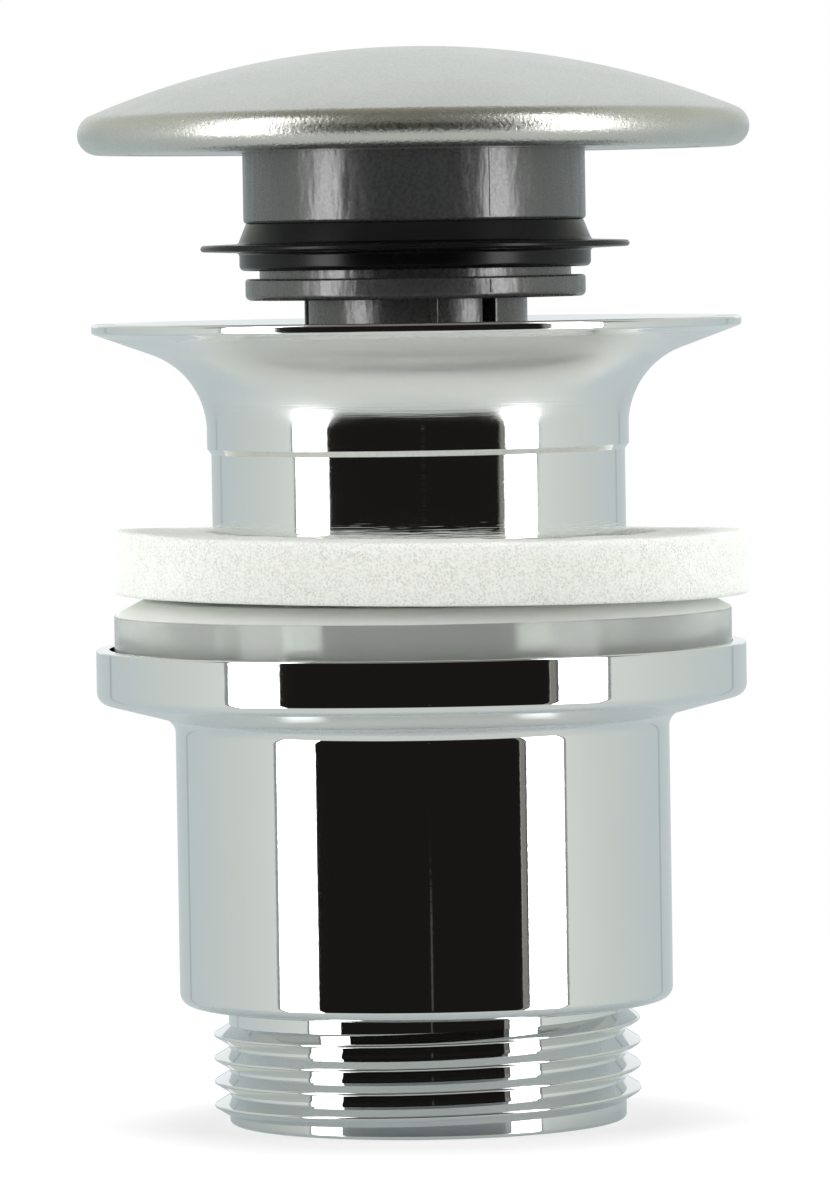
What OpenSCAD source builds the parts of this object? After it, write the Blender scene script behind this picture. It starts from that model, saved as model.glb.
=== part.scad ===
// Click-clack washbasin waste, standing on its threaded outlet with the plug open.
// Z is up, the origin is on the axis at the outlet end, and sizes are in millimetres.

/* [Dome cap] */
// Outside diameter of the cap
cap_d = 65.7; // [60:0.1:72]
// Height of the cap from the underside of its rim to its crown
cap_h = 10.2; // [8:0.1:13]
// Radius of the rolled rim
cap_roll_r = 2; // [1.5:0.1:2.5]
// Sheet thickness of the cap
cap_t = 0.8; // [0.5:0.1:1.2]
// Width of the lip that is folded in under the rim
cap_lip_w = 2.8; // [1:0.1:5]
// Thickness of the plate that closes the underside of the cap
backplate_t = 1.2; // [0.8:0.1:2]

/* [Plug] */
// Diameter of the collar under the cap
collar_d = 33.5; // [31.5:0.1:38]
// Height of the collar
collar_h = 7.8; // [5:0.1:12]
// Diameter of the floor of the seal groove
groove_d = 30.5; // [28:0.1:31]
// Height of the seal groove
groove_h = 5.4; // [4.8:0.1:7]
// Diameter of the foot under the groove
foot_d = 33.3; // [31.5:0.1:34.5]
// Thickness of the foot
foot_h = 2.1; // [1.5:0.1:3]
// Thickness of the web that closes the top of the stem
web_t = 2.5; // [1.5:0.1:4]
// Wall between the seal groove and the pocket in the collar
collar_wall = 1.9; // [1.2:0.1:3]
// Thickness of the ribs in the pocket
pocket_rib_t = 1.2; // [0.8:0.1:2]
// Number of ribs in the pocket
pocket_ribs = 6; // [3:1:12]
// Radius of the moulded edges of the plug
plug_edge_r = 0.4; // [0.2:0.1:0.8]

/* [Stem] */
// Outside diameter of the hollow stem
stem_d = 21.8; // [20.5:0.1:24]
// Wall of the stem
stem_wall = 1.6; // [1.2:0.1:2]
// Width of the guide slots in the stem
slot_w = 1.6; // [1.4:0.1:3]
// Direction of the first guide slot, in degrees from +X
slot_angle = -49; // [-90:1:90]
// Width of the fine ribs on the stem
stem_rib_w = 0.8; // [0.5:0.1:1.2]
// How far the fine ribs stand out
stem_rib_h = 0.3; // [0.2:0.05:0.5]
// Direction of the first fine rib, in degrees from +X
stem_rib_angle = -81; // [-110:1:-65]

/* [Plug seal] */
// Diameter of the lip
lip_d = 42; // [40:0.1:43]
// Thickness of the lip at its root
lip_t = 0.9; // [0.6:0.1:1.2]
// Height of the lip above the foot of the plug
lip_above_foot = 3; // [2.6:0.1:3.4]
// Diameter of the seal where the lip grows out of it
seal_root_d = 34.4; // [34:0.1:36]
// Diameter of the top edge of the seal
seal_top_d = 33.1; // [31.5:0.1:33.8]
// Least width of the top edge of the seal
seal_edge_w = 0.5; // [0.3:0.1:0.8]
// Bare groove left under the seal
seal_below = 0.8; // [0.2:0.1:1]

/* [Flange and neck] */
// Diameter of the flange
flange_d = 63.6; // [58:0.1:70]
// Thickness of the flange at its rim
rim_t = 1; // [0.8:0.1:1.5]
// Radius of the rim's edges
rim_edge_r = 0.3; // [0.2:0.05:0.4]
// Width of the flat on top of the rim
rim_flat_w = 1.9; // [1:0.1:3]
// Radius of the trumpet under the flange
flare_r = 8; // [7:0.1:9]
// Slope of the underside of the flange outside the trumpet, in degrees
flare_slope = 20; // [16:1:24]
// Diameter of the neck that passes through the basin
neck_d = 40.5; // [40:0.1:43]
// Wall of the neck
neck_wall = 2; // [1.5:0.1:2.4]
// How far the shoulder over the neck stands out
shoulder_step = 0.4; // [0.2:0.1:0.8]
// Height of the shoulder over the neck
shoulder_h = 2.3; // [1:0.1:4]
// Length of the plain neck below the shoulder
neck_len = 20.5; // [18:0.5:22]
// How far the tube's thread lies under the surface of the neck
tube_thread_step = 0.3; // [0.2:0.05:0.5]
// Height of the ledge in the foot of the tube
ledge_h = 2; // [1.5:0.1:3]
// Width of that ledge
ledge_w = 1.4; // [1:0.1:2]

/* [Gaskets] */
// Diameter of the foam washer
foam_d = 62.3; // [56:0.1:68]
// Thickness of the foam washer
foam_t = 6; // [4:0.1:8]
// Radial room between the foam washer and the neck
foam_room = 1.65; // [1.4:0.05:2.5]
// How far the foam washer lies off centre
foam_shift = 1.1; // [0:0.1:1.1]
// Diameter of the silicone seal
cone_d = 60.5; // [56:0.1:61]
// Height of the silicone seal's outer edge over the floor of its recess
cone_edge_h = 6; // [5:0.1:8]
// Height of the chamfer on that edge
cone_chamfer_h = 1.3; // [0.8:0.1:2]
// Diameter of the top of the chamfer
cone_top_d = 55; // [50:0.1:57]
// Rise of the shallow cone inside the chamfer
cone_crown_h = 0.6; // [0.2:0.1:1.2]

/* [Tail] */
// Diameter of the collar
tail_collar_d = 63.7; // [63:0.1:70]
// Height of the collar's edge
tail_collar_h = 5.1; // [4.5:0.1:7]
// Depth of the recess for the silicone seal
recess_h = 3; // [2:0.1:3.5]
// Rise of the collar's underside
collar_rise = 2; // [1:0.1:3]
// Diameter of the body
body_d = 48.4; // [46:0.1:52]
// Height of the body
body_h = 27.9; // [27:0.1:36]
// Radius of the body's bottom edge
body_edge_r = 1.2; // [0.6:0.1:2]
// Radius of the fillet under the collar
collar_fillet_r = 1.6; // [0.6:0.1:2]
// Radius of the collar's bottom edge
collar_edge_r = 1.2; // [0.4:0.1:1.6]
// Thickness of the floor in the foot of the body
tail_floor_t = 3.5; // [2.5:0.1:4.5]

/* [Outlet thread] */
// Length of the threaded outlet below the body
outlet_len = 11.7; // [11.4:0.1:16]
// Diameter over the thread, G 1 1/4
thread_d = 41.91; // [41.5:0.01:42]
// Pitch of the thread, 11 to the inch
thread_pitch = 2.309; // [2:0.001:2.5]
// Depth of the thread
thread_depth = 1.479; // [1.2:0.001:1.6]
// Length of the plain end below the thread
lead_len = 1.75; // [1.2:0.05:2.2]
// Diameter of the waterway through the outlet
outlet_bore_d = 33.6; // [30:0.1:35]

/* [Click mechanism] */
// Travel of the plug from open to fully pressed
plug_travel = 11.5; // [9:0.1:13]
// Travel past the latched height that frees the latch
press_over = 1; // [0.5:0.1:1.5]
// Depth of the lip below the flange when the plug is fully pressed
seat_depth = 4.3; // [3.9:0.1:4.6]
// Wall of the housing round the cam ring
housing_wall = 1.4; // [1:0.1:1.8]
// Diameter of the plunger
plunger_d = 11.4; // [10.8:0.1:12]
// Length of plunger below the cam pins
plunger_skirt = 14; // [8:0.5:16]
// Depth of the cam groove
cam_depth = 1.2; // [0.8:0.1:1.3]
// Number of cam lobes, one pin each
cam_lobes = 3; // [2:1:3]
// Diameter of the cam pins
pin_d = 1.8; // [1.4:0.1:2]
// Height of the cam ring
cam_ring_h = 5; // [4:0.1:6]
// Thickness of the housing cap's flange
housing_cap_t = 2.6; // [1.5:0.1:3.5]
// Length of the housing cap's spigot
spigot_h = 2; // [1:0.1:3]
// Thickness of the housing's floor
housing_floor_t = 6; // [4:0.1:8]
// Bore of the plunger, for the spring
spring_bore_d = 6.6; // [6:0.1:6.8]
// Wire diameter of the spring
wire_d = 0.9; // [0.6:0.05:1.1]
// Number of turns of the spring
spring_turns = 14; // [8:0.5:16]
// Thickness of the spring seat
seat_t = 1; // [0.6:0.1:2]
// Height of the spring seat's spigot
seat_spigot_h = 3; // [1.5:0.1:5]

/* [Fasteners] */
// Diameter of the stud and of the screw
stud_d = 4.9; // [4:0.1:5]
// Depth of the stud in the plunger
stud_grip = 4; // [3:0.1:5]
// Diameter of the stud's head
stud_head_d = 9; // [8:0.1:11]
// Height of the stud's head
stud_head_h = 1.5; // [1:0.1:2.5]
// Width of the nut across its flats
nut_w = 8; // [7:0.1:9]
// Height of the nut
nut_h = 2.7; // [2:0.1:4]
// Diameter of the screw's head
screw_head_d = 8.5; // [7:0.1:10]
// Height of the screw's head
screw_head_h = 3.2; // [2.5:0.1:5]
// Width of the screw's socket across its flats
screw_socket_w = 4; // [3:0.1:5]
// Diameter of the washer under the hub
washer_d = 10; // [9:0.1:14]
// Thickness of that washer
washer_t = 1; // [0.6:0.1:1.5]

/* [Holder] */
// Height of the holder's ring
holder_h = 6; // [4:0.1:8]
// Wall of the holder's ring
holder_wall = 1.6; // [1.2:0.1:2.2]
// Width of the holder's arms
arm_w = 3; // [2:0.1:4]
// Number of the holder's arms
holder_arms = 4; // [3:1:6]
// Height of the holder's arms
arm_h = 5; // [3:0.1:6]
// Wall of the hub
hub_wall = 2; // [1.4:0.1:2.5]
// Thickness of the hub's floor
hub_floor_t = 3; // [2:0.1:4]
// Depth of the hub's socket
hub_socket_h = 9; // [6:0.1:12]

/* [Clamp] */
// Gap between the foam washer and the top of the flange
clamp_gap = 20.8; // [18.5:0.1:30]
// How far the tail can be screwed up from the drawn position
close_travel = 8; // [2:0.5:8]

/* [Fits] */
// Room between pieces that sit on each other
seat_gap = 0.1; // [0.05:0.05:0.2]
// Radial room of a fixed fit
fit_gap = 0.05; // [0.03:0.01:0.1]
// Radial room of a running fit
run_gap = 0.1; // [0.05:0.01:0.1]
// Radial room between pieces that slide past each other
slide_gap = 0.3; // [0.2:0.05:0.4]
// Room left at the end of a travel
end_gap = 0.6; // [0.4:0.1:1]

/* [Hidden] */
$fn = 96;
cut = 1;
small_edge = 0.25;
leaves = 3;
leaf_turn = 360 / leaves;
hex_share = cos(30);
socket_share = 0.6;
root_share = 0.6;

// Radii
cap_r = cap_d / 2;
collar_r = collar_d / 2;
groove_r = groove_d / 2;
foot_r = foot_d / 2;
stem_r = stem_d / 2;
stem_bore_r = stem_r - stem_wall;
lip_r = lip_d / 2;
flange_r = flange_d / 2;
neck_r = neck_d / 2;
shoulder_r = neck_r + shoulder_step;
bore_r = neck_r - neck_wall;
ledge_r = bore_r - ledge_w;
tube_thread_r = neck_r - tube_thread_step;
seat_r = lip_r + slide_gap;
foam_hole_r = neck_r + foam_room;
cone_r = cone_d / 2;
cone_hole_r = neck_r + slide_gap;
recess_r = cone_r + slide_gap;
tail_collar_r = tail_collar_d / 2;
body_r = body_d / 2;
tail_bore_r = tube_thread_r + run_gap;
tail_mouth_r = neck_r + slide_gap;
outlet_bore_r = outlet_bore_d / 2;
thread_r = thread_d / 2;
root_r = thread_r - thread_depth;
housing_r = stem_bore_r - slide_gap;
ring_bore_r = housing_r - housing_wall;
ring_r = ring_bore_r - run_gap;
plunger_r = plunger_d / 2;
plunger_way_r = plunger_r + slide_gap;
groove_floor_r = plunger_r - cam_depth;
pin_r = pin_d / 2;
spring_bore_r = spring_bore_d / 2;
coil_r = spring_bore_r - slide_gap - wire_d / 2;
stud_r = stud_d / 2;
stud_hole_r = stud_r + fit_gap;
hub_bore_r = housing_r + fit_gap;
hub_r = hub_bore_r + hub_wall;
holder_r = bore_r - fit_gap;
holder_in_r = holder_r - holder_wall;

// Heights of the tail, the gaskets and the flange
z_body = outlet_len;
z_floor = z_body + tail_floor_t;
z_collar_under = z_body + body_h;
z_collar_edge = z_collar_under + collar_rise;
z_collar_top = z_collar_edge + tail_collar_h;
z_recess = z_collar_top - recess_h;
z_cone = z_recess + seat_gap;
z_cone_edge = z_recess + cone_edge_h;
z_cone_chamfer = z_cone_edge + cone_chamfer_h;
z_cone_top = z_cone_chamfer + cone_crown_h;
z_foam = z_cone_top + seat_gap;
z_foam_top = z_foam + foam_t;
z_flange = z_foam_top + clamp_gap;

// Outline of the flange's underside
flare_turn = 90 - flare_slope;
flare_end_r = shoulder_r + flare_r * (1 - cos(flare_turn));
rim_x = flange_r - rim_edge_r;
z_rim_under = z_flange - rim_t + rim_edge_r;
z_flare_end = z_rim_under - rim_edge_r / cos(flare_slope) - (rim_x - flare_end_r) * tan(flare_slope);
z_flare = z_flare_end - flare_r * sin(flare_turn);
z_shoulder = z_flare - shoulder_h;
z_tube_thread = z_shoulder - neck_len;
z_tube = z_floor + close_travel + end_gap;
z_ledge = z_tube + ledge_h;
z_tail_thread = z_tube_thread - close_travel - end_gap;

// Heights of the plug, which stands one travel over its seat
z_lip = z_flange - seat_depth + plug_travel;
z_foot_top = z_lip - lip_above_foot;
z_foot = z_foot_top - foot_h;
z_collar = z_foot_top + groove_h;
z_plate = z_collar + collar_h;
z_plate_top = z_plate + backplate_t;
z_rim = z_plate - seat_gap - cap_t;
z_crown = z_rim + cap_h;
z_web_top = z_collar - small_edge;
z_web = z_web_top - web_t;
z_land = z_lip - plug_travel - lip_t / 2 - slide_gap;
z_land_top = z_lip - plug_travel + press_over + lip_t / 2 + slide_gap;

// Heights of the mechanism, between the foot of the tube and the web of the plug
z_hub_floor = z_ledge + hub_floor_t;
z_hub_top = z_hub_floor + hub_socket_h;
z_stem = z_hub_top + plug_travel + end_gap;
z_nut = z_web - nut_h;
z_plunger_top = z_nut - seat_gap;
z_stud = z_plunger_top - stud_grip;
z_spring_top = z_stud - cut - seat_gap;
z_cap_top = z_web - plug_travel - end_gap;
z_housing_top = z_cap_top - housing_cap_t;
z_key_top = z_foot - plug_travel - end_gap;
z_ring_top = z_housing_top - spigot_h - seat_gap;
z_ring = z_ring_top - cam_ring_h;
z_pin = z_ring + cam_ring_h / 2;
z_plunger = z_pin - plunger_skirt;
z_spring_floor = z_hub_floor + housing_floor_t;
z_spring = z_spring_floor + seat_t;
screw_reach = hub_floor_t + housing_floor_t - cut;

// Outline of the dome: a crown that runs tangent into the rolled rim
roll_in_r = cap_r - cap_roll_r;
z_roll = z_rim + cap_roll_r;
dome_rise = z_crown - z_roll;
dome_r = (roll_in_r ^ 2 + dome_rise ^ 2 - cap_roll_r ^ 2) / (2 * (dome_rise - cap_roll_r));
z_dome = z_crown - dome_r;
dome_end = atan2(z_roll - z_dome, roll_in_r);

// Points along an arc in the plane of a profile
function arc(x, z, r, from, to, steps = 8) =
    [for (i = [0:steps]) let (a = from + (to - from) * i / steps) [x + r * cos(a), z + r * sin(a)]];

// A round solid from a profile of radii and heights
module turned(profile) {
    rotate_extrude()
        polygon(profile);
}

// A round rod or hole on the axis between two heights
module rod(r, from, to) {
    translate([0, 0, from])
        cylinder(r = r, h = to - from);
}

// A round sleeve on the axis between two heights
module sleeve(outer, inner, from, to) {
    difference() {
        rod(outer, from, to);
        rod(inner, from - cut, to + cut);
    }
}

// A radial bar between two radii, standing on a height
module bar(from, to, width, z, height, angle) {
    rotate([0, 0, angle])
        translate([from, -width / 2, z])
            cube([to - from, width, height]);
}

// A pressed metal cap with its rim rolled in underneath
module dome_cap() {
    lip_in_r = roll_in_r - cap_lip_w;
    color("#b4b3ad")
        turned(concat(
            arc(0, z_dome, dome_r, 90, dome_end, 24),
            arc(roll_in_r, z_roll, cap_roll_r, dome_end, -90, 16),
            [[lip_in_r, z_rim], [lip_in_r, z_rim + cap_t]],
            arc(roll_in_r, z_roll, cap_roll_r - cap_t, -90, dome_end, 12),
            arc(0, z_dome, dome_r - cap_t, dome_end, 90, 24)));
}

// The plate that lies on the folded lip
module cap_backplate() {
    color("#c9ccca")
        sleeve(roll_in_r - seat_gap, stud_hole_r, z_plate, z_plate_top);
}

// The stud, with its head inside the cap and its end in the plunger
module cap_stud() {
    color("#a8a9a6")
        union() {
            rod(stud_r, z_stud, z_plate_top);
            rod(stud_head_d / 2, z_plate_top, z_plate_top + stud_head_h);
        }
}

// A six-sided nut under the web of the plug
module stud_nut() {
    color("#a8a9a6")
        difference() {
            translate([0, 0, z_nut])
                cylinder(d = nut_w / hex_share, h = nut_h, $fn = 6);
            rod(stud_hole_r, z_nut - cut, z_web + cut);
        }
}

// The moulded plug: collar, groove, foot and slotted stem
module plug_body() {
    foot_round = foot_h / 4;
    boss_r = stud_hole_r + stem_wall;
    pocket_r = groove_r - collar_wall;
    color("#77787a")
        union() {
            difference() {
                turned(concat(
                    [[0, z_stem], [stem_r - small_edge, z_stem], [stem_r, z_stem + small_edge],
                     [stem_r, z_foot]],
                    arc(foot_r - foot_round, z_foot + foot_round, foot_round, -90, 0),
                    [[foot_r, z_foot_top - small_edge], [foot_r - small_edge, z_foot_top],
                     [groove_r, z_foot_top], [groove_r, z_collar]],
                    arc(collar_r - plug_edge_r, z_collar + plug_edge_r, plug_edge_r, -90, 0),
                    [[collar_r, z_plate], [0, z_plate]]));
                rod(stem_bore_r, z_stem - cut, z_web);
                difference() {
                    rod(pocket_r, z_web_top, z_plate + cut);
                    rod(boss_r, z_web_top - cut, z_plate + 2 * cut);
                }
                rod(stud_hole_r, z_web - cut, z_plate + cut);
                for (i = [0:leaves - 1])
                    bar(0, stem_r + cut, slot_w, z_stem - cut, z_foot - z_stem + cut,
                        slot_angle + i * leaf_turn);
            }
            for (i = [0:pocket_ribs - 1])
                bar(boss_r - stem_wall / 2, pocket_r + collar_wall / 2, pocket_rib_t, z_web_top - cut / 2,
                    z_plate - z_web_top - cut, i * 360 / pocket_ribs);
            for (i = [0:leaves - 1])
                bar(stem_r - stem_wall / 2, stem_r + stem_rib_h, stem_rib_w, z_stem + cut, z_foot - z_stem,
                    stem_rib_angle + i * leaf_turn);
        }
}

// The rubber seal with one thin lip
module plug_seal() {
    in_r = groove_r + fit_gap;
    root_x = seal_root_d / 2;
    top_x = seal_top_d / 2;
    z_under = z_foot_top + seal_below;
    z_over = z_collar - seat_gap;
    tip_r = lip_t / 3;
    foot_edge = lip_t * root_share;
    z_root = z_lip + lip_t * root_share;
    edge_x = in_r + seal_edge_w;
    reach = top_x < edge_x ? (root_x - edge_x) / (root_x - top_x) : 1;
    color("#1d1d1e")
        turned(concat(
            [[in_r, z_under]],
            arc(root_x - foot_edge, z_under + foot_edge, foot_edge, -90, 0),
            [[root_x, z_lip - lip_t], [root_x + lip_t / 4, z_lip - lip_t / 2]],
            arc(lip_r - tip_r, z_lip, tip_r, -90, 90),
            [[root_x + lip_t / 4, z_lip + lip_t / 2], [root_x, z_root],
             [root_x + (top_x - root_x) * reach, z_root + (z_over - z_root) * reach],
             [in_r, z_root + (z_over - z_root) * reach]]));
}

// One straight run of the cam groove on the unrolled plunger, swept at constant width
module cam_run(from, to, width) {
    steps = 6;
    out_r = plunger_r + cut;
    run = [plunger_r * (to[0] - from[0]) * PI / 180, to[1] - from[1]];
    side = [-run[1], run[0]] / norm(run) * width / 2;
    side_turn = side[0] / plunger_r * 180 / PI;
    stations = [for (i = [0:steps]) from + (to - from) * i / steps];
    points = [for (s = stations) each
        [for (k = [[-1, groove_floor_r], [-1, out_r], [1, out_r], [1, groove_floor_r]])
            let (a = s[0] + k[0] * side_turn)
            [k[1] * cos(a), k[1] * sin(a), s[1] + k[0] * side[1]]]];
    walls = [for (i = [0:steps - 1], k = [0:3])
        [4 * i + k, 4 * i + (k + 1) % 4, 4 * i + 4 + (k + 1) % 4, 4 * i + 4 + k]];
    triangles = [for (w = walls) each [[w[0], w[1], w[2]], [w[0], w[2], w[3]]]];
    last = 4 * steps;
    polyhedron(points, concat([[0, 2, 1], [0, 3, 2]], triangles,
        [[last, last + 1, last + 2], [last, last + 2, last + 3]]));
}

// The closed zig-zag groove: press, latch, press again and back up, once for each lobe
module cam_groove() {
    width = pin_d + 2 * slide_gap;
    quarter = 360 / cam_lobes / 4;
    stops = [[0, 0], [1, plug_travel], [2, plug_travel - press_over], [3, plug_travel], [4, 0]];
    for (lobe = [0:cam_lobes - 1], i = [0:3]) {
        turn = lobe * 4 * quarter;
        start = [turn + stops[i][0] * quarter, z_pin + stops[i][1]];
        end = [turn + stops[i + 1][0] * quarter, z_pin + stops[i + 1][1]];
        cam_run(start, end, width);
        rotate([0, 0, start[0]])
            translate([groove_floor_r, 0, start[1]])
                rotate([0, 90, 0])
                    cylinder(d = width, h = cam_depth + cut, $fn = 48);
    }
}

// The plunger, with the spring in its bore and the stud in its top
module cam_plunger() {
    color("#d8d6cf")
        difference() {
            rod(plunger_r, z_plunger, z_plunger_top);
            rod(spring_bore_r, z_plunger - cut, z_spring_top);
            rod(stud_hole_r, z_stud - seat_gap, z_plunger_top + cut);
            cam_groove();
        }
}

// The ring that carries the cam pins round the plunger
module cam_ring() {
    color("#3c6f9c")
        difference() {
            sleeve(ring_r, plunger_way_r, z_ring, z_ring_top);
            for (i = [0:cam_lobes - 1])
                rotate([0, 0, i * 360 / cam_lobes])
                    translate([0, 0, z_pin])
                        rotate([0, 90, 0])
                            cylinder(r = pin_r + fit_gap, h = ring_r + cut, $fn = 48);
        }
}

// Pins from the ring into the groove
module cam_pins() {
    from = groove_floor_r + slide_gap;
    color("#9a9c9c")
        for (i = [0:cam_lobes - 1])
            rotate([0, 0, i * 360 / cam_lobes])
                translate([from, 0, z_pin])
                    rotate([0, 90, 0])
                        cylinder(r = pin_r, h = ring_r - fit_gap - from, $fn = 48);
}

// The return spring: one round wire with a closed turn at each end
module return_spring() {
    sides = 8;
    turn_steps = 14;
    count = spring_turns * turn_steps;
    wire_r = wire_d / 2;
    low = z_spring + wire_r;
    high = z_spring_top - wire_r;
    active = (high - low - 2 * wire_d) / (spring_turns - 2);
    function wire_z(turn) = turn < 1 ? low + turn * wire_d
        : turn > spring_turns - 1 ? high - (spring_turns - turn) * wire_d
        : low + wire_d + (turn - 1) * active;
    points = [for (i = [0:count], k = [0:sides - 1])
        let (turn = i / turn_steps, r = coil_r + wire_r * cos(k * 360 / sides))
        [r * cos(turn * 360), r * sin(turn * 360), wire_z(turn) + wire_r * sin(k * 360 / sides)]];
    walls = [for (i = [0:count - 1], k = [0:sides - 1])
        let (a = i * sides + k, b = i * sides + (k + 1) % sides)
        each [[a, b, b + sides], [a, b + sides, a + sides]]];
    start = [for (k = [0:sides - 1]) sides - 1 - k];
    end = [for (k = [0:sides - 1]) count * sides + k];
    color("#8f9294")
        polyhedron(points, concat([start], walls, [end]));
}

// The seat under the spring
module spring_seat() {
    color("#cfcdc6")
        union() {
            rod(plunger_r, z_spring_floor, z_spring);
            rod(coil_r - wire_d / 2 - slide_gap / 2, z_spring - cut / 2, z_spring + seat_spigot_h);
        }
}

// The fixed housing, keyed to the slots of the stem
module cartridge_housing() {
    key_r = stem_r - slide_gap;
    color("#dcdad3")
        difference() {
            union() {
                rod(housing_r, z_hub_floor, z_housing_top);
                for (i = [0:leaves - 1])
                    bar(housing_r - housing_wall / 2, key_r, slot_w - 2 * slide_gap, z_hub_top + seat_gap,
                        z_key_top - z_hub_top - seat_gap, slot_angle + i * leaf_turn);
            }
            rod(plunger_way_r, z_spring_floor, z_housing_top + cut);
            rod(ring_bore_r, z_ring - seat_gap, z_housing_top + cut);
            rod(stud_hole_r, z_hub_floor - cut, z_hub_floor + housing_floor_t - cut + seat_gap);
        }
}

// The cap that keeps the ring in the housing
module housing_cap() {
    color("#c4c2ba")
        difference() {
            union() {
                rod(housing_r, z_housing_top, z_cap_top);
                rod(ring_bore_r - fit_gap, z_housing_top - spigot_h, z_housing_top + cut);
            }
            rod(plunger_way_r, z_housing_top - spigot_h - cut, z_cap_top + cut);
        }
}

// Ring, arms and hub in the foot of the tube
module mechanism_holder() {
    color("#6d6e70")
        difference() {
            union() {
                sleeve(holder_r, holder_in_r, z_ledge, z_ledge + holder_h);
                rod(hub_r, z_ledge, z_hub_top);
                for (i = [0:holder_arms - 1])
                    bar(hub_r - hub_wall / 2, holder_in_r + holder_wall / 2, arm_w, z_ledge, arm_h,
                        (i + 1 / 2) * 360 / holder_arms);
            }
            rod(hub_bore_r, z_hub_floor, z_hub_top + cut);
            rod(stud_hole_r, z_ledge - cut, z_hub_floor + cut);
        }
}

// A plain washer under the hub
module holder_washer() {
    color("#b3b5b4")
        sleeve(washer_d / 2, stud_hole_r, z_ledge - washer_t, z_ledge);
}

// A socket screw up through the hub into the housing
module holder_screw() {
    z_seat = z_ledge - washer_t;
    color("#9fa1a0")
        difference() {
            union() {
                rod(stud_r, z_seat - cut, z_ledge + screw_reach);
                rod(screw_head_d / 2, z_seat - screw_head_h, z_seat);
            }
            translate([0, 0, z_seat - screw_head_h - cut])
                cylinder(d = screw_socket_w / hex_share, h = cut + screw_head_h * socket_share, $fn = 6);
        }
}

// Flange, trumpet, neck and screwed tube in one piece
module flange_tube() {
    color("#c6cbce")
        turned(concat(
            [[ledge_r, z_tube], [tube_thread_r - small_edge, z_tube], [tube_thread_r, z_tube + small_edge],
             [tube_thread_r, z_tube_thread - tube_thread_step], [neck_r, z_tube_thread],
             [neck_r, z_shoulder], [shoulder_r, z_shoulder + shoulder_step / 2]],
            arc(shoulder_r + flare_r, z_flare, flare_r, 180, 180 - flare_turn, 20),
            arc(rim_x, z_rim_under, rim_edge_r, flare_slope - 90, 0, 6),
            arc(rim_x, z_flange - rim_edge_r, rim_edge_r, 0, 90, 6),
            [[rim_x - rim_flat_w, z_flange], [seat_r, z_land_top], [seat_r, z_land],
             [bore_r, z_land - seat_r + bore_r], [bore_r, z_ledge], [ledge_r, z_ledge]]));
}

// The foam washer, lying loose round the neck
module foam_washer() {
    edge = foam_t / 10;
    color("#f4f4f2")
        translate([foam_shift, 0, 0])
            turned(concat(
                [[foam_hole_r, z_foam], [foam_d / 2, z_foam]],
                arc(foam_d / 2 - edge, z_foam_top - edge, edge, 0, 90, 4),
                [[foam_hole_r, z_foam_top]]));
}

// The silicone seal in the recess of the tail
module cone_seal() {
    color("#a9b0a8")
        turned([[cone_hole_r, z_cone], [cone_r, z_cone], [cone_r, z_cone_edge],
                [cone_top_d / 2, z_cone_chamfer], [foam_hole_r, z_cone_top], [cone_hole_r, z_cone_top]]);
}

// The tail: outlet thread, body and collar, with the screwed bore for the tube
module tail_body() {
    crest = thread_pitch / 6;
    flank = (thread_pitch - 2 * crest) / 2;
    crests = floor((outlet_len - lead_len) / thread_pitch);
    lean = atan2(collar_rise, tail_collar_r - body_r);
    fillet_x = body_r + collar_fillet_r;
    z_fillet = z_collar_under + (collar_fillet_r * tan(lean)) - collar_fillet_r / cos(lean);
    thread = [for (i = [0:crests - 1])
        let (z = lead_len + i * thread_pitch + crest / 2)
        each [[root_r, z], [thread_r, z + flank], [thread_r, z + flank + crest],
              [root_r, z + 2 * flank + crest]]];
    edge_x = tail_collar_r - collar_edge_r;
    z_edge = z_collar_under + (edge_x - body_r) * tan(lean) + collar_edge_r / cos(lean);
    color("#c6cbce")
        turned(concat(
            [[outlet_bore_r, 0]],
            arc(root_r - small_edge, small_edge, small_edge, -90, 0, 4),
            thread,
            [[root_r, z_body]],
            arc(body_r - body_edge_r, z_body + body_edge_r, body_edge_r, -90, 0),
            arc(fillet_x, z_fillet, collar_fillet_r, 180, 90 + lean),
            arc(edge_x, z_edge, collar_edge_r, lean - 90, 0),
            [[tail_collar_r, z_collar_top - small_edge], [tail_collar_r - small_edge, z_collar_top],
             [recess_r, z_collar_top], [recess_r, z_recess], [tail_mouth_r, z_recess],
             [tail_mouth_r, z_tail_thread], [tail_bore_r, z_tail_thread - tube_thread_step],
             [tail_bore_r, z_floor], [outlet_bore_r, z_floor]]));
}

dome_cap();
cap_backplate();
cap_stud();
stud_nut();
plug_body();
plug_seal();
cam_plunger();
cam_ring();
cam_pins();
return_spring();
spring_seat();
cartridge_housing();
housing_cap();
mechanism_holder();
holder_washer();
holder_screw();
flange_tube();
foam_washer();
cone_seal();
tail_body();
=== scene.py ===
from math import atan2, cos, degrees, pi, radians, sin, tan

import bmesh
import bpy
from mathutils import Matrix, Vector, noise


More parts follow.
